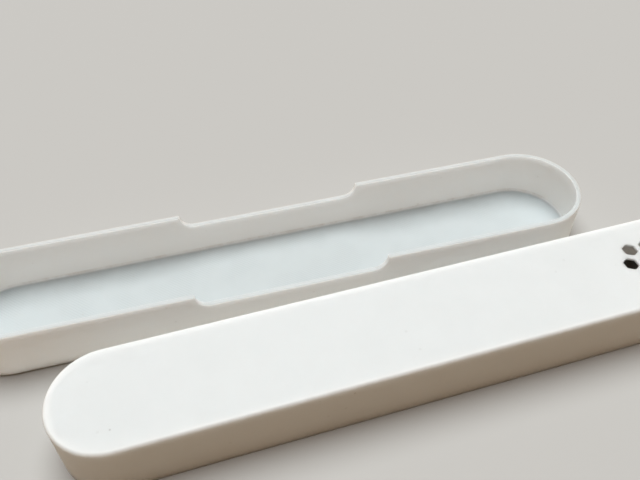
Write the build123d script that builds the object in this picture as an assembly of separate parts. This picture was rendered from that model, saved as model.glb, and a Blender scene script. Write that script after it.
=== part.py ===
from build123d import *

import os

# Two-piece toothbrush case in printed plastic, in millimetres, +Z up.
# The outer tray lies open side up, centred on the origin, with its underside on Z = 0.
# The vented cover has been lifted out and stands on its rim beside the tray.
# To close the case, the cover is set into the tray, rim down, until it meets the tray's floor.

# Outer tray
tray_length = 205.0
tray_width = 36.0
tray_height = 17.5
tray_wall = 1.6
tray_floor = 1.6
tray_edge_radius = 1.0

# Both rims, with the notch's edges, are softened by this radius
rim_edge_radius = 0.3

# Finger notch in the middle of both long walls
notch_length = 59.6
notch_depth = 4.6
notch_corner_radius = 4.6

# Vented cover, which drops into the tray with this clearance all round
cover_clearance = 0.3
cover_height = 18.8
cover_wall = 1.6
cover_face_thickness = 1.0
cover_edge_radius = 1.0

# Hexagonal vents over the bristles, one in the middle and a ring round it
vent_across_flats = 4.2
vent_pitch = 5.8
vent_ring_count = 6
vent_centre_from_end = 24.6

# Where the taken-off cover stands: slid along the tray, turned a little, clear of its wall
cover_shift = 28.1
cover_turn = 1.8
cover_gap = 6.2

# Sizes that follow from the ones above
cover_length = tray_length - 2 * (tray_wall + cover_clearance)
cover_width = tray_width - 2 * (tray_wall + cover_clearance)
vent_centre_x = cover_length / 2 - vent_centre_from_end

# How far a cutter runs past the face that it cuts
cut_margin = 1.0


def rounded_end_shell(length, width, height, wall, floor, edge_radius):
    """Long shell with half-round ends, open at the top, closed face on Z = 0."""
    block = extrude(SlotOverall(length, width), height)
    underside_edges = block.faces().sort_by(Axis.Z)[0].edges()
    block = fillet(underside_edges, edge_radius)
    hollow_outline = SlotOverall(length - 2 * wall, width - 2 * wall)
    hollow = extrude(hollow_outline, height - floor + cut_margin)
    return block - Pos(0, 0, floor) * hollow


def soften_rim(shell, rim_bottom):
    """Rounds every edge that lies wholly above this height."""
    lowest = rim_bottom - rim_edge_radius / 2
    rim_edges = [edge for edge in shell.edges() if edge.bounding_box().min.Z > lowest]
    return fillet(rim_edges, rim_edge_radius)


def finger_notch():
    """Cutter for the low stretch of both long walls, with rounded lower corners."""
    outline = Rectangle(notch_length, 2 * notch_depth)
    lower_corners = outline.vertices().group_by(Axis.Y)[0]
    outline = fillet(lower_corners, notch_corner_radius)
    reach = tray_width / 2 + cut_margin
    cutter = extrude(Plane.XZ * outline, reach, both=True)
    return Pos(0, 0, tray_height) * cutter


def outer_tray():
    """Tray that holds the brush and the cover."""
    shell = rounded_end_shell(
        tray_length, tray_width, tray_height, tray_wall, tray_floor, tray_edge_radius
    )
    return soften_rim(shell - finger_notch(), tray_height - notch_depth)


def vent_cluster():
    """Cutters for the vents: a middle hexagon and a ring, with flats that face each other."""
    corner_angle = 30
    hexagon = Rot(0, 0, corner_angle) * RegularPolygon(vent_across_flats / 2, 6, major_radius=False)
    hole = extrude(hexagon, cover_face_thickness + 2 * cut_margin)
    ring = [place * hole for place in PolarLocations(vent_pitch, vent_ring_count, rotate=False)]
    return [hole] + ring


def vented_cover():
    """Cover on its rim, closed face up, centred on the Z axis."""
    shell = rounded_end_shell(
        cover_length, cover_width, cover_height, cover_wall, cover_face_thickness, cover_edge_radius
    )
    shell = soften_rim(shell, cover_height)
    cover = Pos(0, 0, cover_height) * Rot(180, 0, 0) * shell
    face_inside = cover_height - cover_face_thickness
    place = Pos(vent_centre_x, 0, face_inside - cut_margin)
    return cover - [place * cutter for cutter in vent_cluster()]


def cover_place():
    """Place of the taken-off cover: its nearest wall stays cover_gap from the tray's wall."""
    turned = Rot(0, 0, cover_turn)
    corner = Vector((cover_length - cover_width) / 2, 0, 0)
    reach = (turned * Pos(corner)).position.Y + cover_width / 2
    return Pos(cover_shift, -tray_width / 2 - cover_gap - reach, 0) * turned


parts = {
    "outer_tray": outer_tray(),
    "vented_cover": cover_place() * vented_cover(),
}

os.makedirs("parts", exist_ok=True)
for node, shape in parts.items():
    export_step(shape, f"parts/{node}.step")
    print(node, "volume", round(shape.volume), "mm3")
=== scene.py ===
import math

import bmesh
import bpy
from bpy.props import FloatProperty, FloatVectorProperty, IntProperty, PointerProperty
from mathutils import Matrix, Vector


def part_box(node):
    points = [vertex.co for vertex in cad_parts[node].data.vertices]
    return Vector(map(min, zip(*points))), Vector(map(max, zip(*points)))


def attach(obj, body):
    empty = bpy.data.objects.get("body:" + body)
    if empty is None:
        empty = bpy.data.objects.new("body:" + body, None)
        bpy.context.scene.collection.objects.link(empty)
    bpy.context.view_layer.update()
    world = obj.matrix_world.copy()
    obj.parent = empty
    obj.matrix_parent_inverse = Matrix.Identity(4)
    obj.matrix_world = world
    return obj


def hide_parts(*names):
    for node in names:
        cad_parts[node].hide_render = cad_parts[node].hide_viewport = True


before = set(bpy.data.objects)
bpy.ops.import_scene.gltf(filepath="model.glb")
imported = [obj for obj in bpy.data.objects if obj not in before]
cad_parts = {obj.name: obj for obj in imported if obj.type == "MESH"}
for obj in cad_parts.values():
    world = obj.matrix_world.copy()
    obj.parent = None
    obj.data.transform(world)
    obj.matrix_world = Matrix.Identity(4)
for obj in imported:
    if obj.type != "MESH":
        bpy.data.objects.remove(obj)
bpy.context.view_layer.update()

bl_info = {
    "name": "Printed Toothbrush Case",
    "version": (1, 0, 0),
    "blender": (4, 5, 0),
    "location": "3D View > Sidebar > Case",
    "description": "Builds the tray and the vented cover of a printed toothbrush case",
    "category": "Add Mesh",
}

MM = 0.001

# How large the tray is in the frame, and where the cover is
tray_low, tray_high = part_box("outer_tray")
tray_size = [high - low for low, high in zip(tray_low, tray_high)]
cover_low, cover_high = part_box("vented_cover")


def length_setting(name, description, millimetres):
    """A size in metres with its default given in millimetres."""
    return FloatProperty(
        name=name, description=description, default=millimetres * MM, min=0.0,
        precision=5, unit="LENGTH",
    )


def share_setting(name, description, default):
    """A strength from 0 to 1."""
    return FloatProperty(
        name=name, description=description, default=default, min=0.0, max=1.0,
        subtype="FACTOR",
    )


def colour_setting(name, description, default):
    """A plain colour."""
    return FloatVectorProperty(
        name=name, description=description, default=default, min=0.0, max=1.0,
        size=3, subtype="COLOR",
    )


class TraySizes(bpy.types.PropertyGroup):
    """Sizes of the open tray."""

    length: length_setting("Length", "Overall length of the tray", tray_size[0] / MM)
    width: length_setting("Width", "Overall width of the tray", tray_size[1] / MM)
    height: length_setting("Height", "Height of the rim", tray_size[2] / MM)
    wall: length_setting("Wall", "Thickness of the wall and the floor", 1.6)
    edge_radius: length_setting("Edge Radius", "Rounding of the lower edge", 1.0)
    rim_radius: length_setting("Rim Radius", "Softening of the rim and the notch", 0.3)
    corner_radius: length_setting("Corner Radius", "Rounding between the floor and the wall", 1.2)
    notch_length: length_setting("Notch Length", "Length of the low stretch of both walls", 59.6)
    notch_depth: length_setting(
        "Notch Depth", "Depth of the low stretch, also its corner radius", 4.6,
    )


class CoverSizes(bpy.types.PropertyGroup):
    """Sizes of the vented cover."""

    clearance: length_setting("Clearance", "Gap all round inside the tray", 0.3)
    height: length_setting(
        "Height", "Overall height of the cover", (cover_high[2] - cover_low[2]) / MM,
    )
    wall: length_setting("Wall", "Thickness of the wall", 1.6)
    face: length_setting("Face", "Thickness of the closed face", 1.0)
    edge_radius: length_setting("Edge Radius", "Rounding of the upper edge", 1.0)
    rim_radius: length_setting("Rim Radius", "Softening of the rim", 0.3)
    corner_radius: length_setting("Corner Radius", "Rounding between the face and the wall", 0.3)
    vent_flats: length_setting("Vent Size", "Width of a vent across its flats", 4.2)
    vent_pitch: length_setting("Vent Pitch", "Distance between neighbouring vents", 5.8)
    vent_inset: length_setting("Vent Inset", "From the end of the cover to the middle vent", 24.6)
    vent_round: length_setting("Vent Rounding", "Rounding of a vent's upright corners", 0.3)
    vent_edge: length_setting("Vent Edge", "Softening of a vent's mouth", 0.12)
    ring_count: IntProperty(
        name="Ring Count", description="Vents round the middle one", default=6, min=0,
    )
    turn: FloatProperty(
        name="Turn", description="How far the cover is turned from the tray",
        default=math.radians(1.8), subtype="ANGLE",
    )


class PrintFinish(bpy.types.PropertyGroup):
    """The look of the printed plastic."""

    colour: colour_setting("Colour", "Colour of the plastic", (0.83, 0.845, 0.835))
    # Painted shade in the grooves between the layers of the walls; also the random darker patches
    # and bands of the plastic
    shade: colour_setting(
        "Shade", "Colour of the grooves and the thicker spots", (0.72, 0.735, 0.725),
    )
    # Painted light: the inner walls take this lighter, cooler colour in place of the plastic's
    # own, for the cooler light that falls on them
    inside: colour_setting("Inside", "Colour of the inner walls", (0.87, 0.925, 0.955))
    # Painted shade: the up-facing side of the tray (its floor and rim) and the down-facing side of
    # the cover take this darker, cooler colour in place of the plastic's own, for the lower light
    # inside the tray
    shaded_open_side: colour_setting(
        "Open Side", "Colour of the side that was printed last", (0.53, 0.565, 0.57),
    )
    # Painted shade: colour of the grooves between the printed lines on the side that faced away
    # from the bed
    open_groove_shade: colour_setting(
        "Open Groove", "Colour of the grooves on that side", (0.42, 0.45, 0.455),
    )
    # Painted shade: the rounded edges take this darker colour, which damps the bright line that
    # the light draws along them
    edge_shade: colour_setting(
        "Rubbed", "Colour of the edges that hands have rubbed", (0.66, 0.655, 0.64),
    )
    mark: colour_setting("Mark", "Colour of specks and shallow dents", (0.50, 0.49, 0.47))
    roughness: share_setting("Roughness", "Roughness of the bare plastic", 0.62)
    shine: share_setting("Shine", "Strength of the plastic's shine", 0.3)
    depth_share: share_setting("Glow", "Share of the light that goes into the plastic", 1.0)
    tray_depth: length_setting(
        "Tray Glow Depth", "How far light travels inside the tray's plastic", 6.0,
    )
    cover_depth: length_setting(
        "Cover Glow Depth", "How far light travels inside the cover's plastic", 4.5,
    )
    depth_tint: colour_setting("Glow Colour", "Light that travels furthest", (1.0, 0.94, 0.92))
    layer_pitch: length_setting("Layer Pitch", "Height of one printed layer", 0.2)
    layer_depth: length_setting("Layer Depth", "Depth of the groove between layers", 0.007)
    line_pitch: length_setting("Line Pitch", "Width of one printed line", 0.42)
    line_depth: length_setting("Line Depth", "Depth of the groove between lines", 0.006)
    line_angle: FloatProperty(
        name="Line Angle", description="Angle of the lines on flat faces",
        default=math.radians(45), subtype="ANGLE",
    )
    speck_gap: length_setting("Speck Gap", "Usual distance between specks", 9.0)
    dent_gap: length_setting("Dent Gap", "Usual distance between shallow dents", 7.0)


class StageSettings(bpy.types.PropertyGroup):
    """Floor, light and camera."""

    floor: colour_setting("Floor", "Colour of the paper floor", (0.44, 0.43, 0.415))
    bounce: colour_setting(
        "Bounce", "Colour of the floor for the light that it throws back", (0.40, 0.33, 0.25),
    )
    backdrop: colour_setting("Backdrop", "Colour seen past the floor", (0.597, 0.584, 0.552))
    sky: colour_setting("Sky", "Colour of the light from all round", (0.15, 0.08, 0.035))
    lamp: colour_setting("Lamp", "Colour of the soft lamp", (0.935, 0.985, 1.0))
    strength: FloatProperty(
        name="Strength", description="Strength of the soft lamp", default=4.0, min=0.0,
    )
    spread: FloatProperty(
        name="Spread", description="How wide the soft lamp looks from the case",
        default=math.radians(48), subtype="ANGLE",
    )
    lean: FloatProperty(
        name="Lean", description="How far the lamp leans back from straight above",
        default=math.radians(14), subtype="ANGLE",
    )
    focal_pixels: FloatProperty(
        name="Focal Length", description="Focal length in pixels of a picture 640 wide",
        default=708.1,
    )
    yaw: FloatProperty(
        name="Yaw", description="Heading of the camera, from straight back towards the right",
        default=0.2583, subtype="ANGLE",
    )
    pitch: FloatProperty(
        name="Pitch", description="How far the camera looks down",
        default=math.radians(45.945), subtype="ANGLE",
    )
    roll: FloatProperty(
        name="Roll", description="Tilt of the picture",
        default=math.radians(-0.572), subtype="ANGLE",
    )
    eye: FloatVectorProperty(
        name="Eye", description="Place of the camera", default=(-0.02794, -0.15386, 0.1766),
        size=3, subtype="TRANSLATION",
    )


class CaseSettings(bpy.types.PropertyGroup):
    """All that a user would change."""

    tray: PointerProperty(type=TraySizes)
    cover: PointerProperty(type=CoverSizes)
    finish: PointerProperty(type=PrintFinish)
    stage: PointerProperty(type=StageSettings)


# Mesh

# Steps of a half-round end, of a large rounding and of a small one
END_STEPS = 72
EDGE_STEPS = 8
SOFT_STEPS = 3
NOTCH_STEPS = 12
# A flat wall is divided this far from its round end, which keeps its shading flat
END_COLUMN = 1.5 * MM
# Faces that meet at more than this are an edge to be rounded
SHARP = math.radians(60)
# Lengths under this are taken as nothing
TINY = 0.001 * MM


def points_in(geometry):
    return [item for item in geometry if isinstance(item, bmesh.types.BMVert)]


def slot_outline(bm, length, width, height):
    """Draws the outline of a slot with half-round ends and returns its edges."""
    others = set(bm.edges)
    radius = width / 2
    reach = length / 2 - radius
    start = bm.verts.new((reach, -radius, height))
    near = start
    for side in (1, -1):
        turned = bmesh.ops.spin(
            bm, geom=[near], cent=(side * reach, 0, height), axis=(0, 0, 1),
            angle=math.pi, steps=END_STEPS,
        )
        last = points_in(turned["geom_last"])[0]
        if side > 0:
            near = bmesh.ops.extrude_vert_indiv(bm, verts=[last])["verts"][0]
            bmesh.ops.translate(bm, verts=[near], vec=(-2 * reach, 0, 0))
    bmesh.ops.contextual_create(bm, geom=[last, start])
    return [edge for edge in bm.edges if edge not in others]


def pull(bm, edges, distance):
    """Pulls a wall out of these edges, straight up or down, and returns its far edges."""
    pulled = bmesh.ops.extrude_edge_only(bm, edges=edges)["geom"]
    bmesh.ops.translate(bm, verts=points_in(pulled), vec=(0, 0, distance))
    return [item for item in pulled if isinstance(item, bmesh.types.BMEdge) and item.is_boundary]


def cut_across(bm, x):
    """Divides the faces along a plane across the length."""
    everything = bm.verts[:] + bm.edges[:] + bm.faces[:]
    bmesh.ops.bisect_plane(
        bm, geom=everything, dist=TINY / 10, plane_co=(x, 0, 0), plane_no=(1, 0, 0),
    )


def sharp_edges(bm, low, high):
    """Edges between these heights whose faces meet sharply."""
    return [
        edge for edge in bm.edges
        if all(low - TINY < v.co.z < high + TINY for v in edge.verts)
        and len(edge.link_faces) == 2 and edge.calc_face_angle() > SHARP
    ]


def round_off(bm, edges, radius, steps):
    bmesh.ops.bevel(
        bm, geom=edges, offset=radius, offset_type="OFFSET", segments=steps,
        profile=0.5, affect="EDGES", material=-1, clamp_overlap=False, loop_slide=False,
    )


def slot_walls(bm, length, width, wall, rim, outer_end, inner_end):
    """Wall with half-round ends that is joined at its rim. Both its far sides stay open.

    rim, outer_end and inner_end are heights. Returns the edges of both open sides.
    """
    outline = slot_outline(bm, length, width, rim)
    outer = pull(bm, outline, outer_end - rim)
    top = bmesh.ops.contextual_create(bm, geom=outline)["faces"][0]
    bmesh.ops.inset_region(bm, faces=[top], thickness=wall, use_even_offset=True)
    inner_rim = list(top.edges)
    bmesh.ops.delete(bm, geom=[top], context="FACES_ONLY")
    inner = pull(bm, inner_rim, inner_end - rim)
    return outer, inner


def finish_piece(bm, name, body, node, material):
    """Makes the object, shades it evenly and says what it stands for."""
    for face in bm.faces:
        face.smooth = True
    mesh = bpy.data.meshes.new(name)
    bm.to_mesh(mesh)
    bm.free()
    piece = bpy.data.objects.new(name, mesh)
    bpy.context.scene.collection.objects.link(piece)
    even = piece.modifiers.new("Even shading", "WEIGHTED_NORMAL")
    even.mode = "FACE_AREA"
    even.weight = 50
    mesh.materials.append(material)
    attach(piece, body)
    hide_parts(node)
    return piece


def tray_mesh(sizes):
    """The open tray, with a low stretch in the middle of both long walls."""
    bm = bmesh.new()
    for side in slot_walls(
        bm, sizes.length, sizes.width, sizes.wall, sizes.height, 0, sizes.wall
    ):
        bmesh.ops.contextual_create(bm, geom=side)
    # Columns beside the round ends, and where the notch's quarter-round corners need them
    depth = sizes.notch_depth
    flat_half = sizes.notch_length / 2 - depth
    columns = [sizes.length / 2 - sizes.width / 2 - END_COLUMN]
    for step in range(NOTCH_STEPS + 1):
        columns.append(flat_half + depth * math.cos(step * math.pi / 2 / NOTCH_STEPS))
    for column in columns:
        cut_across(bm, column)
        cut_across(bm, -column)
    for point in bm.verts:
        if point.co.z > sizes.height - TINY and abs(point.co.x) < sizes.notch_length / 2 - TINY:
            past = max(abs(point.co.x) - flat_half, 0)
            point.co.z -= math.sqrt(depth * depth - past * past)
    bmesh.ops.recalc_face_normals(bm, faces=bm.faces[:])
    round_off(bm, sharp_edges(bm, 0, 0), sizes.edge_radius, EDGE_STEPS)
    round_off(bm, sharp_edges(bm, sizes.wall, sizes.wall), sizes.corner_radius, SOFT_STEPS)
    rim = sharp_edges(bm, sizes.height - depth, sizes.height)
    round_off(bm, rim, sizes.rim_radius, SOFT_STEPS)
    return bm


def vent_ring(bm, middle, height, sizes):
    """Draws the vents' outlines: the middle one and the ring round it."""
    places = [Vector((middle, 0, height))]
    for count in range(sizes.ring_count):
        around = Matrix.Rotation(2 * math.pi * count / sizes.ring_count, 4, "Z")
        places.append(places[0] + around @ Vector((sizes.vent_pitch, 0, 0)))
    corner_radius = sizes.vent_flats / math.sqrt(3)
    vents = []
    for place in places:
        vents += bmesh.ops.create_circle(
            bm, segments=6, radius=corner_radius, matrix=Matrix.Translation(place)
        )["verts"]
    return list({edge for point in vents for edge in point.link_edges})


def holed_face(bm, outline, vents, margin):
    """Fills the outline round the vents, with an even strip along its edge."""
    face = bmesh.ops.contextual_create(bm, geom=outline)["faces"][0]
    bmesh.ops.inset_region(bm, faces=[face], thickness=margin, use_even_offset=True)
    inner = list(face.edges)
    bmesh.ops.delete(bm, geom=[face], context="FACES_ONLY")
    bmesh.ops.triangle_fill(
        bm, use_beauty=True, use_dissolve=False, edges=inner + vents, normal=(0, 0, 1),
    )


def cover_mesh(sizes, tray):
    """The cover on its rim, centred on the Z axis, with vents through its closed face."""
    bm = bmesh.new()
    less = 2 * (tray.wall + sizes.clearance)
    length, width = tray.length - less, tray.width - less
    under = sizes.height - sizes.face
    outer, inner = slot_walls(bm, length, width, sizes.wall, 0, sizes.height, under)
    vents = vent_ring(bm, length / 2 - sizes.vent_inset, sizes.height, sizes)
    holed_face(bm, outer, vents, 2 * sizes.edge_radius)
    vents = pull(bm, vents, -sizes.face)
    holed_face(bm, inner, vents, sizes.edge_radius)
    bmesh.ops.recalc_face_normals(bm, faces=bm.faces[:])
    round_off(bm, [e for e in bm.edges if upright_of(e, sizes.face)], sizes.vent_round, SOFT_STEPS)
    for level in (sizes.height, under):
        mouths = [e for e in sharp_edges(bm, level, level) if abs(e.verts[0].co.y) < width / 3]
        mouths = [e for e in mouths if abs(e.verts[0].co.x) < length / 2 - sizes.vent_inset / 2]
        round_off(bm, mouths, sizes.vent_edge, SOFT_STEPS - 1)
    round_off(bm, sharp_edges(bm, sizes.height, sizes.height), sizes.edge_radius, EDGE_STEPS)
    round_off(bm, sharp_edges(bm, under, under), sizes.corner_radius, SOFT_STEPS)
    round_off(bm, sharp_edges(bm, 0, 0), sizes.rim_radius, SOFT_STEPS)
    return bm


def upright_of(edge, height):
    """Whether this edge stands upright and is this tall."""
    return abs(abs(edge.verts[0].co.z - edge.verts[1].co.z) - height) < TINY


def cover_centre():
    """Where the taken-off cover stands."""
    return Vector(((cover_low[0] + cover_high[0]) / 2, (cover_low[1] + cover_high[1]) / 2, 0))


# Materials


class Value:
    """A socket that sums in plain Python work on."""

    def __init__(self, shader, socket):
        self.shader = shader
        self.socket = socket

    def maths(self, operation, *terms):
        return self.shader.node("Math", {"operation": operation}, dict(enumerate(terms)))

    def __add__(self, other):
        return self.maths("ADD", self, other)

    def __radd__(self, other):
        return self.maths("ADD", other, self)

    def __sub__(self, other):
        return self.maths("SUBTRACT", self, other)

    def __rsub__(self, other):
        return self.maths("SUBTRACT", other, self)

    def __mul__(self, other):
        return self.maths("MULTIPLY", self, other)

    def __rmul__(self, other):
        return self.maths("MULTIPLY", other, self)

    def __truediv__(self, other):
        return self.maths("DIVIDE", self, other)

    def __abs__(self):
        return self.maths("ABSOLUTE", self)

    def __gt__(self, other):
        return self.maths("GREATER_THAN", self, other)

    def __pow__(self, other):
        return self.maths("POWER", self, other)

    def fraction(self):
        return self.maths("FRACT", self)

    def floor(self):
        return self.maths("FLOOR", self)

    def sign(self):
        return self.maths("SIGN", self)

    def at_least(self, other):
        return self.maths("MAXIMUM", self, other)


class Shader:
    """The node tree of one material or of the world."""

    def __init__(self, owner):
        owner.use_nodes = True
        self.tree = owner.node_tree
        self.tree.nodes.clear()

    def node(self, kind, settings=None, sockets=None, output=0):
        """Adds a node: its settings first, then the values or links of its sockets."""
        node = self.tree.nodes.new("ShaderNode" + kind)
        for setting, value in (settings or {}).items():
            setattr(node, setting, value)
        for socket, value in (sockets or {}).items():
            target = node.inputs[socket]
            if isinstance(value, Value):
                self.tree.links.new(value.socket, target)
            elif target.type == "RGBA":
                target.default_value = (*value, 1)
            else:
                target.default_value = value
        return Value(self, node.outputs[output]) if node.outputs else None

    def split(self, vector):
        """The three numbers of a vector."""
        first = self.node("SeparateXYZ", sockets={"Vector": vector})
        return [Value(self, socket) for socket in first.socket.node.outputs]

    def mix(self, share, first, second):
        """A colour between two others."""
        return self.node(
            "Mix", {"data_type": "RGBA"}, {"Factor": share, 6: first, 7: second}, output=2
        )

    def between(self, value, low, high, low_gives=0.0, high_gives=1.0):
        """A smooth step from one value to the other."""
        return self.node("MapRange", {"interpolation_type": "SMOOTHSTEP"}, {
            "Value": value, "From Min": low, "From Max": high,
            "To Min": low_gives, "To Max": high_gives,
        })

    def seen(self):
        """1 where the light goes to the camera, straight or by way of a shine or glass, else 0."""
        rays = [
            self.node("LightPath", output=f"Is {kind} Ray")
            for kind in ("Camera", "Glossy", "Transmission")
        ]
        return rays[0].at_least(rays[1]).at_least(rays[2])

    def spots(self, vector, gap, full, gone, rarity):
        """Scattered spots: full strength and gone at these shares of their usual distance.

        rarity is the share of them that is left out.
        """
        distance = self.node(
            "TexVoronoi", sockets={"Vector": vector, "Scale": 1 / gap}, output="Distance"
        )
        draw = self.split(Value(self, distance.socket.node.outputs["Color"]))[0]
        return self.between(distance, full, gone, 1.0, 0.0) * (draw > rarity)

    def noise(self, vector, size, detail=2.0, roughness=0.5):
        """Soft noise whose patches are about this size."""
        return self.node("TexNoise", sockets={
            "Vector": vector, "Scale": 1 / size, "Detail": detail, "Roughness": roughness,
        })


# Sizes of the detail in the plastic
WAVE_SIZE, WAVE_DEPTH = 14 * MM, 0.03 * MM
PATCH_SIZE = 32 * MM
GRAIN_SIZE, GRAIN_DEPTH = 0.35 * MM, 0.0015 * MM
BAND_SIZE = 1.3 * MM
SCUFF_SIZE, SCUFF_STRETCH = 0.9 * MM, 0.05
EDGE_PATCH_SIZE = 5 * MM
DENT_DEPTH = 0.01 * MM
# The relief's height is worked out in this unit
RELIEF_UNIT = 0.01 * MM
# Width of the printed rings along the outline of a flat face
RING_BAND = 2.9 * MM
# How far in from the outline the painted light on the inner walls starts, and where it is full
INSIDE_FROM, INSIDE_SURE = 0.9 * MM, 1.4 * MM
# How strongly light bends as it enters the plastic
PLASTIC_IOR = 1.46


def beads(position, pitch):
    """Height of round beads side by side: 1 on their backs, 0 in their grooves."""
    across = (position / pitch).fraction() * 2 - 1
    return 1 - across * across


def printed_plastic(name, finish, depth, straight, radius, centre, turn, bed_side):
    """Plastic printed in layers.

    depth is how far light travels inside it, straight and radius describe the outline, centre
    and turn its place, and bed_side says which way the face looks that was printed on the bed:
    1 up, -1 down.
    """
    material = bpy.data.materials.new(name)
    sh = Shader(material)
    where = sh.node("TexCoord", output="Object")
    place = sh.node(
        "Mapping", {"vector_type": "TEXTURE"},
        {"Vector": where, "Location": tuple(centre), "Rotation": (0, 0, turn)},
    )
    x, y, z = sh.split(place)
    up = sh.split(sh.node("TexCoord", output="Normal"))[2]
    steep = abs(up)
    flat = sh.between(steep, 0.93, 0.998)
    edge = 4 * steep * (1 - steep)
    on_bed = sh.between(up * bed_side, 0.9, 0.99)

    # Layers up the walls, each a little different from the next
    layer = (z / finish.layer_pitch).floor()
    wander = sh.node("TexWhiteNoise", {"noise_dimensions": "1D"}, {"W": layer})
    layers = beads(z, finish.layer_pitch)
    bands = sh.node(
        "TexNoise", {"noise_dimensions": "1D"}, {"W": z, "Scale": 1 / BAND_SIZE, "Detail": 1.0}
    )

    # Printed lines on the flat faces: rings along the outline, slanting lines inside them
    beyond = (abs(x) - straight / 2).at_least(0)
    away = (beyond * beyond + y * y) ** 0.5
    slant = x * math.cos(finish.line_angle) + y * up.sign() * math.sin(finish.line_angle)
    ring = away > radius - RING_BAND
    line = ring * away + (1 - ring) * slant
    lines = beads(line, finish.line_pitch)
    pairs = beads(line, 2 * finish.line_pitch)

    # Broad waves, fine grain, scuffs, specks, dents, and painted shade with extra roughness on the
    # rounded edges
    waves = sh.noise(place, WAVE_SIZE)
    patches = sh.noise(place, PATCH_SIZE, detail=3.0, roughness=0.6)
    grain = sh.noise(place, GRAIN_SIZE, detail=3.0, roughness=0.6)
    stretched = sh.node("Mapping", {}, {"Vector": place, "Scale": (SCUFF_STRETCH, 1.0, 1.0)})
    scuffs = sh.between(sh.noise(stretched, SCUFF_SIZE, detail=4.0, roughness=0.65), 0.60, 0.72)
    specks = sh.spots(place, finish.speck_gap, full=0.018, gone=0.045, rarity=0.45)
    dents = sh.spots(place, finish.dent_gap, full=0.03, gone=0.09, rarity=0.3)
    # Painted shade on the rounded edges, patchy along their length; it also makes them a little
    # rougher
    edge_patches = sh.between(sh.noise(place, EDGE_PATCH_SIZE, detail=4.0, roughness=0.7), 0.35, 0.70)
    edge_shade_and_roughness = edge * (0.35 + 0.65 * edge_patches)

    # Relief
    wall_height = (layers + 0.5 * wander + 1.2 * bands) * (1 - flat) * finish.layer_depth
    flat_depth = finish.line_depth * (1 - 0.6 * on_bed)
    flat_height = (lines + 0.6 * pairs) * flat * flat_depth
    height = (
        wall_height + flat_height + waves * WAVE_DEPTH + grain * GRAIN_DEPTH - dents * DENT_DEPTH
    )
    relief = sh.node(
        "Bump", {}, {"Height": height / RELIEF_UNIT, "Distance": RELIEF_UNIT, "Strength": 1.0}
    )

    # Colour
    # Painted shade: 1 on the side that faced away from the bed, which takes the darker shaded
    # colour
    shaded_open_side = sh.between(up * bed_side, -0.98, -0.6, 1.0, 0.0)
    # Painted light: 1 on the inner walls, which are painted lighter and cooler
    inner_wall_light = (1 - flat) * sh.between(
        away, radius - INSIDE_SURE, radius - INSIDE_FROM, 1.0, 0.0
    )
    # Painted shade in the grooves between the layers up the walls
    grooves = (1 - layers) * (1 - flat) * 0.22
    colour = sh.mix(sh.between(patches, 0.35, 0.70, 0.0, 0.25), finish.colour, finish.shade)
    colour = sh.mix(grooves + bands * (1 - flat) * 0.10, colour, finish.shade)
    # The painted shade in the grooves between the lines on the open side comes and goes
    line_strength = sh.between(waves, 0.40, 0.62, 0.15, 1.0)
    open_line_shade = (0.2 * (1 - lines) + 0.35 * (1 - pairs)) * line_strength
    shaded_open_colour = sh.mix(open_line_shade, finish.shaded_open_side, finish.open_groove_shade)
    # Painted light on the inner walls
    colour = sh.mix(inner_wall_light * 0.9, colour, finish.inside)
    # Painted shade on the tray's floor and rim and on the cover's underside
    colour = sh.mix(shaded_open_side, colour, shaded_open_colour)
    # Painted shade on the rounded edges
    colour = sh.mix(edge_shade_and_roughness * 0.8, colour, finish.edge_shade)
    colour = sh.mix(dents * 0.16, colour, finish.mark)
    colour = sh.mix(specks * 0.55, colour, finish.mark)

    rough = (
        finish.roughness - 0.08 * on_bed + 0.10 * (patches - 0.5) + 0.06 * (grain - 0.5)
        + 0.10 * scuffs * flat + 0.08 * edge_shade_and_roughness + 0.04 * (wander - 0.5) * (1 - flat)
    )
    plastic = sh.node("BsdfPrincipled", {}, {
        "Base Color": colour, "Roughness": rough, "Normal": relief, "IOR": PLASTIC_IOR,
        "Specular IOR Level": finish.shine,
        "Subsurface Weight": finish.depth_share, "Subsurface Scale": depth,
        "Subsurface Radius": tuple(finish.depth_tint),
    })
    sh.node("OutputMaterial", {}, {"Surface": plastic})
    return material


# Operators


class CASE_OT_outer_tray(bpy.types.Operator):
    """Build the open tray with its finger notches"""

    bl_idname = "case.outer_tray"
    bl_label = "Outer Tray"

    def execute(self, context):
        case = context.scene.toothbrush_case
        sizes = case.tray
        material = printed_plastic(
            "White printed plastic, tray", case.finish, case.finish.tray_depth,
            sizes.length - sizes.width, sizes.width / 2, (0, 0, 0), 0, -1,
        )
        finish_piece(
            tray_mesh(sizes), "printed_tray", "tray", "outer_tray", material
        )
        return {"FINISHED"}


class CASE_OT_vented_cover(bpy.types.Operator):
    """Build the hollow cover with its hexagonal vents"""

    bl_idname = "case.vented_cover"
    bl_label = "Vented Cover"

    def execute(self, context):
        case = context.scene.toothbrush_case
        sizes = case.cover
        bm = cover_mesh(sizes, case.tray)
        place = Matrix.Translation(cover_centre()) @ Matrix.Rotation(sizes.turn, 4, "Z")
        bmesh.ops.transform(bm, matrix=place, verts=bm.verts[:])
        material = printed_plastic(
            "White printed plastic, cover", case.finish, case.finish.cover_depth,
            case.tray.length - case.tray.width,
            case.tray.width / 2 - case.tray.wall - sizes.clearance, cover_centre(), sizes.turn, 1,
        )
        finish_piece(bm, "printed_cover", "cover", "vented_cover", material)
        return {"FINISHED"}


# How far the floor reaches, and how far it lies below the case, so that they don't coincide
FLOOR_REACH = 3.0
FLOOR_DROP = 0.02 * MM
# Width of the picture in pixels, and of the camera's sensor in its own unit
PICTURE_WIDTH = 640
SENSOR_WIDTH = 36.0


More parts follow.
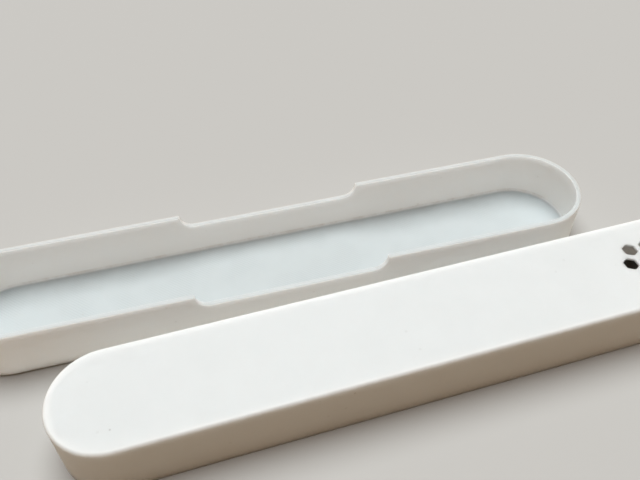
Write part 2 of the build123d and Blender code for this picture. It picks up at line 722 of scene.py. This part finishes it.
class CASE_OT_stage(bpy.types.Operator):
    """Lay the floor and set the light and the camera"""

    bl_idname = "case.stage"
    bl_label = "Stage"

    def execute(self, context):
        stage = context.scene.toothbrush_case.stage
        scene = context.scene
        scene.view_settings.view_transform = "Standard"

        bm = bmesh.new()
        bmesh.ops.create_grid(bm, x_segments=1, y_segments=1, size=FLOOR_REACH)
        bmesh.ops.translate(bm, verts=bm.verts[:], vec=(0, 0, -FLOOR_DROP))
        mesh = bpy.data.meshes.new("plain_floor")
        bm.to_mesh(mesh)
        bm.free()
        ground = bpy.data.objects.new("plain_floor", mesh)
        scene.collection.objects.link(ground)
        paper = bpy.data.materials.new("Pale paper floor")
        sh = Shader(paper)
        shown = sh.mix(sh.seen(), tuple(stage.bounce), tuple(stage.floor))
        matt = sh.node("BsdfPrincipled", {}, {"Base Color": shown, "Roughness": 0.9})
        sh.node("OutputMaterial", {}, {"Surface": matt})
        mesh.materials.append(paper)

        world = bpy.data.worlds.new("Soft room light")
        scene.world = world
        sh = Shader(world)
        shown = sh.mix(sh.seen(), tuple(stage.sky), tuple(stage.backdrop))
        sky = sh.node("Background", {}, {"Color": shown, "Strength": 1.0})
        sh.node("OutputWorld", {}, {"Surface": sky})

        light = bpy.data.lights.new("soft_lamp", "SUN")
        light.energy = stage.strength
        light.angle = stage.spread
        light.color = stage.lamp
        lamp = bpy.data.objects.new("soft_lamp", light)
        scene.collection.objects.link(lamp)
        lamp.rotation_euler = (-stage.lean, 0, 0)

        view = bpy.data.cameras.new("camera")
        view.sensor_width = SENSOR_WIDTH
        view.lens = stage.focal_pixels / PICTURE_WIDTH * view.sensor_width
        camera = bpy.data.objects.new("camera", view)
        scene.collection.objects.link(camera)
        scene.camera = camera
        heading = Vector((math.sin(stage.yaw), math.cos(stage.yaw), 0))
        right = Vector((math.cos(stage.yaw), -math.sin(stage.yaw), 0))
        ahead = heading * math.cos(stage.pitch) - Vector((0, 0, math.sin(stage.pitch)))
        over = right.cross(ahead)
        across = right * math.cos(stage.roll) + over * math.sin(stage.roll)
        upward = over * math.cos(stage.roll) - right * math.sin(stage.roll)
        axes = Matrix((across, upward, -ahead)).transposed().to_4x4()
        camera.matrix_world = Matrix.Translation(stage.eye) @ axes
        return {"FINISHED"}


class CASE_PT_sidebar(bpy.types.Panel):
    """Sizes, finish and building steps of the case"""

    bl_idname = "CASE_PT_sidebar"
    bl_label = "Toothbrush Case"
    bl_space_type = "VIEW_3D"
    bl_region_type = "UI"
    bl_category = "Case"

    def draw(self, context):
        case = context.scene.toothbrush_case
        for title, group, steps in (
            ("Tray", case.tray, ("case.outer_tray",)),
            ("Cover", case.cover, ("case.vented_cover",)),
            ("Finish", case.finish, ()),
            ("Stage", case.stage, ("case.stage",)),
        ):
            box = self.layout.box()
            box.label(text=title)
            for setting in group.bl_rna.properties:
                if setting.identifier not in ("rna_type", "name"):
                    box.prop(group, setting.identifier)
            for step in steps:
                box.operator(step)


CLASSES = (
    TraySizes, CoverSizes, PrintFinish, StageSettings, CaseSettings,
    CASE_OT_outer_tray, CASE_OT_vented_cover, CASE_OT_stage, CASE_PT_sidebar,
)


def register():
    for item in CLASSES:
        bpy.utils.register_class(item)
    bpy.types.Scene.toothbrush_case = PointerProperty(type=CaseSettings)


def unregister():
    del bpy.types.Scene.toothbrush_case
    for item in reversed(CLASSES):
        bpy.utils.unregister_class(item)


def main():
    register()
    bpy.ops.case.outer_tray()
    bpy.ops.case.vented_cover()
    bpy.ops.case.stage()


if __name__ == "__main__":
    main()
